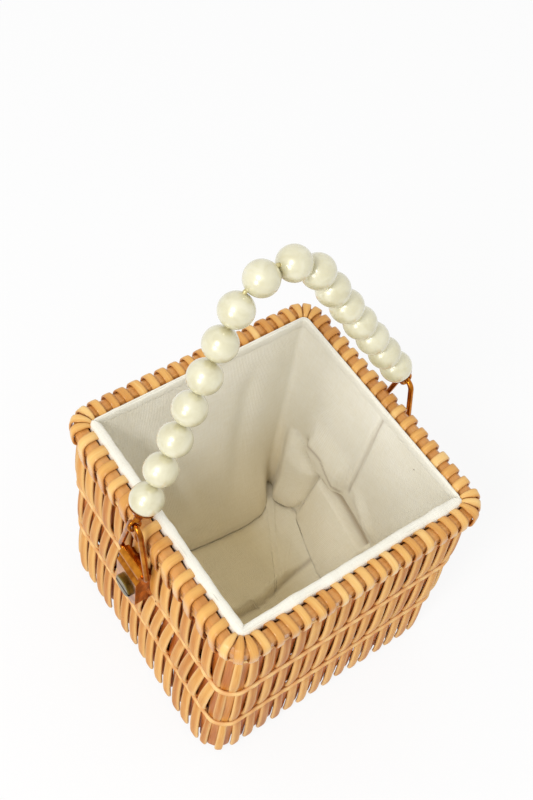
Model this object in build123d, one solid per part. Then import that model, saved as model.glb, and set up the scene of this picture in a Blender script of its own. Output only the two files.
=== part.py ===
from build123d import *
import math
import os

# Square woven basket bag with a bead handle, in millimetres.
# The origin is on the table under the middle of the basket. +X runs from the left wall to the right
# wall, +Y from the front wall to the back wall, +Z up. Each wall is drawn on the +X side and turned.

# Basket
basket_width = 150.0
basket_height = 140.0
corner_radius = 9.0
wall_angles = {"right": 0, "back": 90, "left": 180, "front": 270}
side_angles = {"right": 0, "left": 180}

# Rim
rim_width = 8.4
rim_height = 10.0
rim_chamfer = 2.6
wrap_thickness = 0.9
wrap_width = 5.2
wrap_spacings = {"right": 8.1, "back": 7.6, "left": 9.4, "front": 7.2}
corner_wraps = 3
corner_wrap_angle = 18.0

# Hoops and reeds
hoop_thickness = 2.0
hoop_height = 2.6
hoop_clearance = 0.2
base_hoop_middle = 8.0
lower_hoop_middle = 42.0
upper_hoop_middle = 85.0
reed_thickness = 2.0
reed_width = 3.8
reed_spacing = 4.3
reed_swing = 2.2
corner_reeds = 4
corner_reed_width = 2.8

# Woven base
stake_count = 6
stake_width = 6.0
stake_thickness = 3.0
weaver_count = 11
weaver_width = 8.0
weaver_thickness = 2.4
weaver_seat = 6.0

# Liner
cloth_thickness = 1.0
hem_thickness = 1.6
hem_height = 8.0
hem_drop = 0.6
slack_level_shares = (0.72, 0.43, 0.2, 0)
slack_place_shares = (0, 0.45, 0.8)
slack_bow_shares = (1, 0.9, 0.5)
wall_slacks = {
    "right": (2.0, 4.0, 4.0, 18.0),
    "back": (4.0, 11.0, 21.0, 38.0),
    "left": (3.0, 6.0, 9.0, 15.0),
    "front": (3.0, 6.0, 9.0, 15.0),
}
corner_slacks = (1.5, 3.5, 6.0, 9.0)

# Side clips, screws and backing plates
clip_width = 17.0
clip_height = 30.0
clip_depth = 9.5
clip_chamfer = 3.0
barrel_wall = 1.6
bar_drop = 26.0
screw_drop = 19.0
screw_head_diameter = 12.0
screw_head_height = 2.2
screw_edge = 0.5
slot_width = 1.4
slot_depth = 1.0
shank_diameter = 4.0
shank_clearance = 0.1
backing_width = 16.0
backing_height = 20.0
backing_thickness = 1.2

# Side rings
ring_offset = 3.5
ring_wire = 2.8
ring_height = 36.0
ring_side_gap = 0.2
bow_radius = 4.5
ring_corner_radius = 2.5

# Handle
pearl_diameter = 16.0
pearl_pitch = 16.3
leg_pearls = 7
crown_pearls = 2
handle_lean = 12.0
slope_tolerance = 1e-9
core_diameter = 2.0
core_end_reach = 5.2
eye_wire = 1.8
eye_clearance = 0.5
cap_reach = 15.0
cap_neck_reach = 4.6
cap_neck_radius = 1.8
cap_lip_reach = 9.0
cap_lip_radius = 6.2

# Places worked out from the sizes above
wall_middle = basket_width / 2 - wrap_thickness - rim_width / 2
straight_half = wall_middle - corner_radius
rim_middle = basket_height - wrap_thickness - rim_height / 2
rim_underside = rim_middle - rim_height / 2 - wrap_thickness
top_hoop_middle = rim_underside - hoop_height / 2
hoop_middles = {
    "base": base_hoop_middle,
    "lower": lower_hoop_middle,
    "upper": upper_hoop_middle,
    "top": top_hoop_middle,
}
reeds_per_side = 2 * int(straight_half // reed_spacing)
reed_pitch = 2 * straight_half / reeds_per_side
reed_inner_face = wall_middle - reed_swing - reed_thickness / 2
reed_outer_face = wall_middle + reed_swing + reed_thickness / 2
stake_reach = wall_middle - reed_thickness / 2 - hoop_clearance - hoop_thickness
stake_pitch = 2 * stake_reach / stake_count
weaver_pitch = 2 * stake_reach / weaver_count
weaver_swing = (stake_thickness + weaver_thickness) / 2
base_top = base_hoop_middle + weaver_swing + weaver_thickness / 2
liner_outer = wall_middle - rim_width / 2 - wrap_thickness
liner_inner = liner_outer - cloth_thickness
liner_top = basket_height - hem_drop
liner_radius = corner_radius - (wall_middle - liner_inner)
liner_shoulder = liner_inner - liner_radius * (1 - math.tan(math.pi / 8))
liner_corner = (liner_inner + liner_shoulder) / 2
hem_bottom = liner_top - hem_height
floor_top = base_top + cloth_thickness
bar_level = basket_height - bar_drop
clip_bottom = bar_level - clip_height
clip_front = reed_outer_face + clip_depth
barrel_radius = ring_wire / 2 + barrel_wall
screw_level = bar_level - screw_drop
backing_face = reed_inner_face - backing_thickness
ring_middle = basket_width / 2 + ring_offset
bow_top = bar_level + ring_height
swing_level = bow_top - bow_radius
pearl_radius = pearl_diameter / 2
core_radius = core_diameter / 2
eye_radius = ring_wire / 2 + eye_clearance + eye_wire / 2


def spaced(count, pitch):
    """Places of an even row, centred on zero."""
    return [(index - (count - 1) / 2) * pitch for index in range(count)]


def turned(shape, angle):
    """The shape turned about the basket's upright axis."""
    return Rot(0, 0, angle) * shape


def about_corner(shape, angle):
    """The shape turned about the centre of the corner between the right and back walls."""
    return Pos(straight_half, straight_half) * Rot(0, 0, angle) * Pos(-straight_half, -straight_half) * shape


def rounded_square(half):
    """Plan of the basket at one distance from its middle, all on the same corner centres."""
    return RectangleRounded(2 * half, 2 * half, corner_radius + half - wall_middle)


def square_ring(inner_half, outer_half, bottom, height):
    """Upright ring that follows the walls all the way round."""
    plan = rounded_square(outer_half) - rounded_square(inner_half)
    return Pos(0, 0, bottom) * extrude(plan, height)


def strip_side_view(line, thickness):
    """Side view of a bent strip from the line through its middle."""
    near = [(along, offset - thickness / 2) for along, offset in line]
    far = [(along, offset + thickness / 2) for along, offset in reversed(line)]
    return Polygon(*near, *far, align=None)


def make_hoop(middle, side):
    """Closed hoop on the outer or the inner side of the reeds, with its clearance to them."""
    centre = wall_middle + side * (reed_thickness / 2 + hoop_clearance + hoop_thickness / 2)
    inner_half = centre - hoop_thickness / 2
    return square_ring(inner_half, inner_half + hoop_thickness, middle - hoop_height / 2, hoop_height)


def make_hoops(name):
    """The pair of hoops at one level. The base hoop has no partner outside the reeds."""
    sides = (-1,) if name == "base" else (-1, 1)
    return [make_hoop(hoop_middles[name], side) for side in sides]


def make_reed(first_side, width):
    """Upright reed in the right wall, held at each hoop and bowed out or in by turns between them."""
    levels = list(hoop_middles.values())
    line = [(0, 0), (levels[0], 0)]
    for row, (below, above) in enumerate(zip(levels, levels[1:])):
        bow = reed_swing if (row + first_side) % 2 == 0 else -reed_swing
        line.append(((below + above) / 2, bow))
        line.append((above, 0))
    line[-1] = (top_hoop_middle - hoop_height / 2, 0)
    line.append((rim_underside, 0))
    plane = Plane(origin=(wall_middle, 0, 0), x_dir=(0, 0, 1), z_dir=(0, 1, 0))
    return extrude(plane * strip_side_view(line, reed_thickness), width / 2, both=True)


def make_wall_reeds(wall):
    """The reeds of one wall, nicked where a clip's screw passes between two of them."""
    angle = wall_angles[wall]
    first_side = list(wall_angles).index(wall) * (reeds_per_side + corner_reeds)
    pair = [make_reed(side, reed_width) for side in range(2)]
    bore_radius = shank_diameter / 2 + shank_clearance
    bore = Rot(0, 90, 0) * Cylinder(bore_radius, 2 * (reed_outer_face - reed_inner_face))
    bore = Pos(wall_middle, 0, screw_level) * bore
    row = []
    for index, place in enumerate(spaced(reeds_per_side, reed_pitch)):
        reed = Pos(0, place, 0) * pair[(index + first_side) % 2]
        if wall in side_angles and abs(place) < reed_width / 2 + bore_radius:
            reed = reed - bore
        row.append(turned(reed, angle))
    return row


def make_corner_reeds():
    """The reeds that carry the weave round the four corners."""
    step = 90 / corner_reeds
    row = []
    for quarter, angle in enumerate(wall_angles.values()):
        first_side = quarter * (reeds_per_side + corner_reeds) + reeds_per_side
        for index in range(corner_reeds):
            reed = make_reed(first_side + index, corner_reed_width)
            reed = about_corner(Pos(0, straight_half, 0) * reed, step / 2 + index * step)
            row.append(turned(reed, angle))
    return row


def rim_section(growth):
    """Cross section of the rim on the right wall, grown evenly all round."""
    outline = Rectangle(rim_width + 2 * growth, rim_height + 2 * growth)
    outline = chamfer(outline.vertices(), rim_chamfer + growth * (2 - math.sqrt(2)))
    return Plane(origin=(wall_middle, 0, rim_middle), x_dir=(1, 0, 0), z_dir=(0, -1, 0)) * outline


def round_corner(section, arc):
    """The section carried round the corner between the right and back walls."""
    axis = Axis((straight_half, straight_half, 0), (0, 0, 1))
    return revolve(Pos(0, straight_half, 0) * section, axis, arc)


def make_rim_core():
    section = rim_section(0)
    quarter = extrude(section, straight_half, both=True) + round_corner(section, 90)
    core = quarter
    for angle in (90, 180, 270):
        core = core + turned(quarter, angle)
    return core


def make_side_wraps(wall):
    """The wraps of one wall, spread evenly over its straight run."""
    band = rim_section(wrap_thickness) - rim_section(0)
    wrap = extrude(band, wrap_width / 2, both=True)
    count = round(2 * straight_half / wrap_spacings[wall])
    places = spaced(count, 2 * straight_half / count)
    return [turned(Pos(0, place, 0) * wrap, wall_angles[wall]) for place in places]


def make_corner_wraps():
    band = rim_section(wrap_thickness) - rim_section(0)
    wrap = about_corner(round_corner(band, corner_wrap_angle), -corner_wrap_angle / 2)
    step = 90 / corner_wraps
    fan = [about_corner(wrap, step / 2 + index * step) for index in range(corner_wraps)]
    return [turned(strip, angle) for angle in wall_angles.values() for strip in fan]


def make_base_stakes():
    stake = Pos(0, 0, base_hoop_middle) * Box(2 * stake_reach, stake_width, stake_thickness)
    return [Pos(0, place, 0) * stake for place in spaced(stake_count, stake_pitch)]


def make_base_weavers():
    """Strips across the stakes, each over and under them by turns."""
    plane = Plane(origin=(0, 0, base_hoop_middle), x_dir=(0, 1, 0), z_dir=(1, 0, 0))
    end = stake_reach - stake_thickness
    row = []
    for index, place in enumerate(spaced(weaver_count, weaver_pitch)):
        line = []
        for number, middle in enumerate(spaced(stake_count, stake_pitch)):
            offset = weaver_swing if (number + index) % 2 == 0 else -weaver_swing
            line.append((middle - weaver_seat / 2, offset))
            line.append((middle + weaver_seat / 2, offset))
        line[0] = (-end, line[0][1])
        line[-1] = (end, line[-1][1])
        strip = extrude(plane * strip_side_view(line, weaver_thickness), weaver_width / 2, both=True)
        row.append(Pos(place, 0, 0) * strip)
    return row


def slack_line(level, wall_slack, corner_slack):
    """Inner line of a cloth panel at one level, from corner to corner, hanging in most at its middle."""
    corner = liner_corner - corner_slack
    half = []
    for place_share, bow_share in zip(slack_place_shares, slack_bow_shares):
        slack = corner_slack + (wall_slack - corner_slack) * bow_share
        half.append((liner_inner - slack, place_share * corner, level))
    half.append((liner_inner - corner_slack, liner_shoulder - corner_slack, level))
    half.append((corner, corner, level))
    mirrored = [(across, -along, level) for across, along, level in half[1:]]
    return mirrored[::-1] + half


def outer_line(line):
    """The same line on the outer face of the cloth, with its ends on the slants through the corners."""
    moved = [(across + cloth_thickness, along, level) for across, along, level in line[2:-2]]
    shoulder, corner = line[-2:]
    shoulder_along = shoulder[1] - liner_shoulder + straight_half
    corner_along = corner[1] + cloth_thickness * math.cos(math.pi / 4)
    ends = [(shoulder[0] + cloth_thickness, shoulder_along), (corner_along, corner_along)]
    level = corner[2]
    near = [(across, -along, level) for across, along in reversed(ends)]
    far = [(across, along, level) for across, along in ends]
    return near + moved + far


def slack_lines(wall):
    """Inner lines of one cloth panel, from the top of its hem down to the floor."""
    lines = [slack_line(liner_top, 0, 0), slack_line(hem_bottom, 0, 0)]
    for share, wall_slack, corner_slack in zip(slack_level_shares, wall_slacks[wall], corner_slacks):
        level = floor_top + share * (hem_bottom - floor_top)
        lines.append(slack_line(level, wall_slack, corner_slack))
    return lines


def flat_face(*points):
    return Face(Wire.make_polygon(points, close=True))


def grid_border(lines):
    """The points round the edge of a grid of lines, in order."""
    far_end = [line[-1] for line in lines[1:-1]]
    near_end = [line[0] for line in lines[1:-1]]
    return lines[0] + far_end + lines[-1][::-1] + near_end[::-1]


def sheet_between(inner, outer):
    """Closed solid between two grids of lines: triangles on both sides and a strip round the edge."""
    faces = []
    for lines in (inner, outer):
        for upper, lower in zip(lines, lines[1:]):
            for one, two, three, four in zip(upper, upper[1:], lower[1:], lower):
                faces.append(flat_face(one, two, three))
                faces.append(flat_face(one, three, four))
    inner_edge = grid_border(inner)
    outer_edge = grid_border(outer)
    for index, corner in enumerate(inner_edge):
        faces.append(flat_face(inner_edge[index - 1], corner, outer_edge[index], outer_edge[index - 1]))
    return Solid(Shell(faces))


def make_liner_wall(wall):
    """One slack cloth panel between two corners."""
    inner = slack_lines(wall)
    outer = [outer_line(line) for line in inner]
    return turned(sheet_between(inner, outer), wall_angles[wall])


def make_liner_floor():
    """Cloth on the base, out to the foot of the four panels."""
    outline = []
    for wall, angle in wall_angles.items():
        foot = outer_line(slack_lines(wall)[-1])
        outline += [Vector(across, along).rotate(Axis.Z, angle) for across, along, _ in foot[:-1]]
    return Pos(0, 0, base_top) * extrude(flat_face(*outline), cloth_thickness)


def make_liner_hem():
    return square_ring(liner_inner - hem_thickness, liner_inner, hem_bottom, hem_height)


def make_clip():
    """Cast clip on the right wall: a block with a sloping top and a barrel for the ring's bar."""
    plane = Plane(origin=(0, 0, bar_level), x_dir=(1, 0, 0), z_dir=(0, -1, 0))
    block = Polygon(
        (reed_outer_face, -clip_height),
        (clip_front, -clip_height),
        (clip_front, -2 * barrel_radius),
        (ring_middle, 0),
        (reed_outer_face, -barrel_radius),
        align=None,
    )
    side_view = block + Pos(ring_middle, 0) * Circle(barrel_radius)
    side_view = side_view - Pos(ring_middle, 0) * Circle(ring_wire / 2)
    clip = extrude(plane * side_view, clip_width / 2, both=True)
    low_edges = clip.faces().sort_by(Axis.Z)[0].edges().filter_by(Axis.X)
    clip = chamfer(low_edges, clip_chamfer)
    bore = Pos(clip_front, 0, screw_level) * Rot(0, 90, 0) * Cylinder(shank_diameter / 2, 4 * clip_depth)
    return clip - bore


def make_screw():
    """Slotted screw, its head flat on the clip and its shank through to the backing plate."""
    head = extrude(Circle(screw_head_diameter / 2), screw_head_height)
    head = chamfer(head.faces().sort_by(Axis.Z)[-1].edges(), screw_edge)
    slot = Pos(0, 0, screw_head_height) * Box(slot_width, screw_head_diameter, 2 * slot_depth)
    shank = extrude(Circle(shank_diameter / 2), backing_face - clip_front)
    return Pos(clip_front, 0, screw_level) * Rot(0, 90, 0) * (head - slot + shank)


def make_backing():
    """Tapped plate behind the weave, its lower edge level with the clip's."""
    middle = (backing_face + reed_inner_face) / 2
    plate = Pos(middle, 0, clip_bottom + backing_height / 2) * Box(
        backing_thickness, backing_width, backing_height
    )
    bore = Rot(0, 90, 0) * Cylinder(shank_diameter / 2, 4 * backing_thickness)
    return plate - Pos(middle, 0, screw_level) * bore


def make_ring():
    """Wire ring with a straight bar in the clip's barrel and a narrow bow at the top."""
    plane = Plane(origin=(ring_middle, 0, 0), x_dir=(0, 1, 0), z_dir=(1, 0, 0))
    corner_half = clip_width / 2 + ring_side_gap
    corner_level = bar_level + ring_corner_radius
    rise = swing_level - corner_level
    opening = math.acos((ring_corner_radius - bow_radius) / math.hypot(corner_half, rise))
    tilt = math.degrees(math.atan2(rise, -corner_half) - opening)
    bow = CenterArc((0, swing_level), bow_radius, tilt, 180 - 2 * tilt)
    back = CenterArc((-corner_half, corner_level), ring_corner_radius, 180 - tilt, 90 + tilt)
    front = CenterArc((corner_half, corner_level), ring_corner_radius, 270, 90 + tilt)
    links = [Line(bow @ 1, back @ 0), Line(back @ 1, front @ 0), Line(front @ 1, bow @ 0)]
    path = plane * Wire([bow, links[0], back, links[1], front, links[2]])
    return sweep(Plane(path ^ 0) * Circle(ring_wire / 2), path)


def pearl_slopes(leg_slope):
    """Slope of each bead's bore in degrees, rising on one leg and falling on the other."""
    crown = [leg_slope * (1 - 2 * index / (crown_pearls + 1)) for index in range(1, crown_pearls + 1)]
    return [leg_slope] * leg_pearls + crown + [-leg_slope] * leg_pearls


def step_slopes(leg_slope):
    """Slope of each step along the strand, from one eye over every bead to the other eye."""
    slopes = pearl_slopes(leg_slope)
    between = [(slope + following) / 2 for slope, following in zip(slopes, slopes[1:])]
    return [leg_slope] + between + [-leg_slope]


def strand_steps():
    return [cap_reach] + [pearl_pitch] * (2 * leg_pearls + crown_pearls - 1) + [cap_reach]


def fitting_leg_slope():
    """The slope of the legs at which the strand just spans the two rings."""
    low, high = 0, 90
    while high - low > slope_tolerance:
        slope = (low + high) / 2
        angles = [math.radians(angle) for angle in step_slopes(slope)]
        span = sum(length * math.cos(angle) for length, angle in zip(strand_steps(), angles))
        low, high = (slope, high) if span > 2 * ring_middle else (low, slope)
    return low


leg_slope = fitting_leg_slope()


def direction(slope):
    return Vector(-math.cos(math.radians(slope)), 0, math.sin(math.radians(slope)))


def pearl_places():
    """Middle of each bead, from the right leg over the crown to the left leg."""
    places = [Vector(ring_middle, 0, bow_top)]
    for length, slope in zip(strand_steps(), step_slopes(leg_slope)):
        places.append(places[-1] + direction(slope) * length)
    return places[1:-1]


def leaned(shape):
    """The shape swung with the handle about the middle of the two bows."""
    return Pos(0, 0, swing_level) * Rot(-handle_lean, 0, 0) * Pos(0, 0, -swing_level) * shape


def make_pearls():
    bead = Sphere(pearl_radius) - Cylinder(core_radius, 2 * pearl_diameter)
    beads = []
    for place, slope in zip(pearl_places(), pearl_slopes(leg_slope)):
        beads.append(leaned(Plane(origin=place, z_dir=direction(slope)).location * bead))
    return beads


def rod(start, end):
    return Plane(origin=start, z_dir=end - start) * Circle(core_radius), (end - start).length


def make_core():
    """Strand core: straight through each bead, with a bend between beads that turn."""
    places = pearl_places()
    slopes = pearl_slopes(leg_slope)
    first_end = Vector(ring_middle, 0, bow_top) + direction(leg_slope) * core_end_reach
    bends = []
    for place, slope, following in zip(places, slopes, slopes[1:]):
        if slope != following:
            half_turn = math.radians((slope - following) / 2)
            bends.append(place + direction(slope) * (pearl_pitch / 2 / math.cos(half_turn)))
    nodes = [first_end] + bends + [Vector(-first_end.X, 0, first_end.Z)]
    core = None
    for start, end in zip(nodes, nodes[1:]):
        section, length = rod(start, end)
        run = extrude(section, length)
        core = run if core is None else core + run
    for node in bends:
        core = core + Pos(node) * Sphere(core_radius)
    return leaned(core)


def make_cap(angle):
    """Bell cap on the end bead, with a neck and an eye round the bow of the ring."""
    bell_height = cap_lip_reach - cap_neck_reach
    bell = Cone(cap_neck_radius, cap_lip_radius, bell_height, align=(Align.CENTER, Align.CENTER, Align.MIN))
    neck = Pos(0, 0, eye_radius) * extrude(Circle(cap_neck_radius), cap_neck_reach - eye_radius)
    cap = neck + Pos(0, 0, cap_neck_reach) * bell
    cap = cap + Rot(90, 0, 0) * Torus(eye_radius, eye_wire / 2)
    cap = cap - Pos(0, 0, cap_reach) * Sphere(pearl_radius)
    cap = cap - Pos(0, 0, core_end_reach) * extrude(Circle(core_radius), cap_reach)
    along = direction(leg_slope)
    seat = Plane(origin=(ring_middle, 0, bow_top), x_dir=(along.Z, 0, -along.X), z_dir=along)
    return leaned(turned(seat.location * cap, angle))


def save(name, shapes):
    solids = shapes if isinstance(shapes, list) else [shapes]
    solids = [solid for shape in solids for solid in shape.solids()]
    whole = solids[0] if len(solids) == 1 else Compound(children=solids)
    export_step(whole, os.path.join("parts", name + ".step"))


os.makedirs("parts", exist_ok=True)

save("rim_core", make_rim_core())
save("rim_corner_wraps", make_corner_wraps())
save("corner_reeds", make_corner_reeds())
for wall in wall_angles:
    save("rim_wraps_" + wall, make_side_wraps(wall))
    save("reeds_" + wall, make_wall_reeds(wall))
    save("liner_wall_" + wall, make_liner_wall(wall))
for name in hoop_middles:
    save("hoop_" + name, make_hoops(name))
save("base_stakes", make_base_stakes())
save("base_weavers", make_base_weavers())
save("liner_floor", make_liner_floor())
save("liner_hem", make_liner_hem())
for side, angle in side_angles.items():
    save("clip_" + side, turned(make_clip(), angle))
    save("screw_" + side, turned(make_screw(), angle))
    save("backing_plate_" + side, turned(make_backing(), angle))
    save("ring_" + side, turned(make_ring(), angle))
    save("end_cap_" + side, make_cap(angle))
save("pearl_beads", make_pearls())
save("strand_core", make_core())
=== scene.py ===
import math
import random

import bpy
import numpy as np
from mathutils import Matrix, Vector, noise


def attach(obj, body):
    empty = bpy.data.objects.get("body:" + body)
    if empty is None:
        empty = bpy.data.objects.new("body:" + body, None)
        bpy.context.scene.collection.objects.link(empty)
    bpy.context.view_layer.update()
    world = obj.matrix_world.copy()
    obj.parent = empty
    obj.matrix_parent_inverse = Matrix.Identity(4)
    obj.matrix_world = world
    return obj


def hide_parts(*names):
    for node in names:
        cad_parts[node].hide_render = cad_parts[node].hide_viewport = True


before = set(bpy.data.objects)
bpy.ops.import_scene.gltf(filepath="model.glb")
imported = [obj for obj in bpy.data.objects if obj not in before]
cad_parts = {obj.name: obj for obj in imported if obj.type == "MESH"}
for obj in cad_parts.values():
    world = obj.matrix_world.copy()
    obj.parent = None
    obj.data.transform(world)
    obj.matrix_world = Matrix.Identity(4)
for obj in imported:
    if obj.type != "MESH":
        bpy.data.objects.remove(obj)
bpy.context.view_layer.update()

# Sizes in millimetres, as in the CAD part; walls by the angle they face
MM = 0.001
WALLS = {"right": 0, "back": 90, "left": 180, "front": 270}
WALL_MIDDLE = 69.9
STRAIGHT_HALF = 60.9
CORNER_RADIUS = 9.0
HOOP_LEVELS = {"base": 8.0, "lower": 42.0, "upper": 85.0, "top": 126.9}
HOOP_OFFSET = 2.2
REEDS_PER_SIDE = 28
REED_PITCH = 2 * STRAIGHT_HALF / REEDS_PER_SIDE
CORNER_REEDS = 4
RIM_UNDERSIDE = 128.2
RIM_MIDDLE = 134.1
RIM_WIDTH = 8.4
RIM_HEIGHT = 10.0
WRAP_THICKNESS = 0.9
WRAP_COUNTS = {"right": 15, "back": 16, "left": 13, "front": 17}
CORNER_WRAPS = 3
LINER_HALF = 64.0
LINER_TOP = 139.6
FLOOR_LEVEL = 13.2
UP = np.array([0.0, 0.0, 1.0])

rng = random.Random(11)


# Shaping functions
def clamp(value):
    return max(0.0, min(1.0, value))


def smooth(low, high, value):
    """0 up to low, 1 from high on, and an even ease between."""
    t = clamp((value - low) / (high - low))
    return t * t * (3 - 2 * t)


def band(value, start, full, fade, end):
    """1 from full to fade, easing to 0 at start and end."""
    return smooth(start, full, value) * (1 - smooth(fade, end, value))


def hill(x, centre, reach):
    return math.exp(-((x - centre) / reach) ** 2)


def look_up(table, value):
    """A value read between the entries of a table of places and values."""
    return float(np.interp(value, *table))


def squared(angle_deg, power):
    """A point of a unit circle that is pushed towards a square."""
    c, s = math.cos(math.radians(angle_deg)), math.sin(math.radians(angle_deg))
    return math.copysign(abs(c) ** power, c), math.copysign(abs(s) ** power, s)


# Points on the walls
def wall_axes(angle):
    """Outward and along directions of a wall, or of a corner at an angle between two walls."""
    c, s = math.cos(math.radians(angle)), math.sin(math.radians(angle))
    return np.array([c, s, 0.0]), np.array([-s, c, 0.0])


def wall_point(angle, out, along, level):
    """A point of a wall from its distance to the middle, its place along the wall and its height."""
    out_axis, along_axis = wall_axes(angle)
    return out_axis * out + along_axis * along + UP * level


def corner_point(angle, turn, out, level):
    """A point at the corner after a wall; out counts from the middle as on the wall."""
    centre = wall_point(angle, STRAIGHT_HALF, STRAIGHT_HALF, level)
    return centre + wall_axes(angle + turn)[0] * (CORNER_RADIUS + out - WALL_MIDDLE)


def side_point(angle, along, turn, out, level):
    """A point on a wall, or at the corner after it when it has a turn."""
    if turn is None:
        return wall_point(angle, out, along, level)
    return corner_point(angle, turn, out, level)


def plan_path(out, per_wall, per_corner):
    """Points round the basket at height 0, each with its outward direction."""
    stations = []
    for angle in WALLS.values():
        for k in range(per_wall):
            along = STRAIGHT_HALF * (2 * k / per_wall - 1)
            stations.append((wall_point(angle, out, along, 0), wall_axes(angle)[0]))
        for k in range(per_corner):
            turn = 90 * k / per_corner
            stations.append((corner_point(angle, turn, out, 0), wall_axes(angle + turn)[0]))
    return stations


# Mesh building
GRAIN_SPREAD = 9
EDGE_POWER = 3


class Builder:
    """Collects swept strands into one mesh with a grain map and a tint for each point: a tone, a share of
    painted edge light and a share of painted shade in recesses.
    """

    def __init__(self):
        self.points, self.faces, self.grain, self.tint = [], [], [], []

    def sweep(self, strand, section, shade, closed=False):
        """A section carried along a strand.

        Each station of the strand is (point, across, up, half width, half height, (edge, shade in recesses)),
        the last two being shares of painted edge light and painted shade.
        """
        n, m = len(strand), len(section)
        start = len(self.points)
        along = 0.0
        u0, v0 = rng.uniform(0, GRAIN_SPREAD), rng.uniform(0, GRAIN_SPREAD)
        for i, (point, across, up, half_width, half_height, (edge, crevice_shade)) in enumerate(strand):
            if i:
                along += float(np.linalg.norm(point - strand[i - 1][0])) * MM
            v = 0.0
            for j, (a, b) in enumerate(section):
                self.points.append((point + across * a * half_width + up * b * half_height) * MM)
                if j:
                    pa, pb = section[j - 1]
                    v += math.hypot((a - pa) * half_width, (b - pb) * half_height) * MM
                self.grain.append((u0 + along, v0 + v))
                self.tint.append((shade, edge * abs(a) ** EDGE_POWER, crevice_shade, 1.0))
        for i in range(n if closed else n - 1):
            p, q = start + i * m, start + (i + 1) % n * m
            for j in range(m):
                k = (j + 1) % m
                self.faces.append((p + j, p + k, q + k, q + j))
        if not closed:
            self.faces.append(tuple(start + j for j in reversed(range(m))))
            self.faces.append(tuple(start + (n - 1) * m + j for j in range(m)))

    def piece(self, name, material, replaced):
        points = [tuple(p) for p in self.points]
        return add_piece(name, points, self.faces, self.grain, self.tint, material, replaced)


def add_piece(name, points, faces, grain, tint, material, replaced):
    """A smooth mesh that rides on the basket, with a grain map and a tint given for each point."""
    mesh = bpy.data.meshes.new(name)
    mesh.from_pydata(points, [], faces)
    layer = mesh.uv_layers.new(name="grain")
    for loop in mesh.loops:
        layer.data[loop.index].uv = grain[loop.vertex_index]
    colors = mesh.color_attributes.new("tint", "FLOAT_COLOR", "POINT")
    colors.data.foreach_set("color", np.array(tint, np.float32).ravel())
    mesh.validate()
    mesh.update()
    mesh.polygons.foreach_set("use_smooth", [True] * len(mesh.polygons))
    obj = bpy.data.objects.new(name, mesh)
    bpy.context.scene.collection.objects.link(obj)
    mesh.materials.append(material)
    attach(obj, "basket")
    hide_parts(*replaced)
    return obj


# Sections of the strands, for half sizes of 1
HALF_ROUND = [(1.0, -0.1), (0.97, 0.38), (0.84, 0.78), (0.62, 0.96), (0.2, 1.02), (-0.2, 1.02),
              (-0.62, 0.96), (-0.84, 0.78), (-0.97, 0.38), (-1.0, -0.1), (-0.86, -0.6), (0.86, -0.6)]
STRIP = [(1.0, -0.2), (0.98, 0.45), (0.9, 0.78), (0.6, 0.94), (0.2, 1.0), (-0.2, 1.0), (-0.6, 0.94),
         (-0.9, 0.78), (-0.98, 0.45), (-1.0, -0.2), (-0.9, -0.9), (0.9, -0.9)]
OVAL = [squared(a, 1.0) for a in range(0, 360, 40)]
HEM_ROLL = [squared(a, 0.7) for a in range(0, 360, 20)]


# Node helpers
def srgb(r, g, b):
    def linear(c):
        c = c / 255
        return c / 12.92 if c <= 0.04045 else ((c + 0.055) / 1.055) ** 2.4
    return (linear(r), linear(g), linear(b), 1.0)


def seen_directly(tree):
    """1 for camera rays, mirror rays and rays through glass, 0 for the light that a surface gathers."""
    kind = tree.nodes.new("ShaderNodeLightPath")
    value = kind.outputs["Is Camera Ray"]
    for name in ("Is Glossy Ray", "Is Transmission Ray"):
        larger = tree.nodes.new("ShaderNodeMath")
        larger.operation = "MAXIMUM"
        tree.links.new(value, larger.inputs[0])
        tree.links.new(kind.outputs[name], larger.inputs[1])
        value = larger.outputs[0]
    return value


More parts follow.
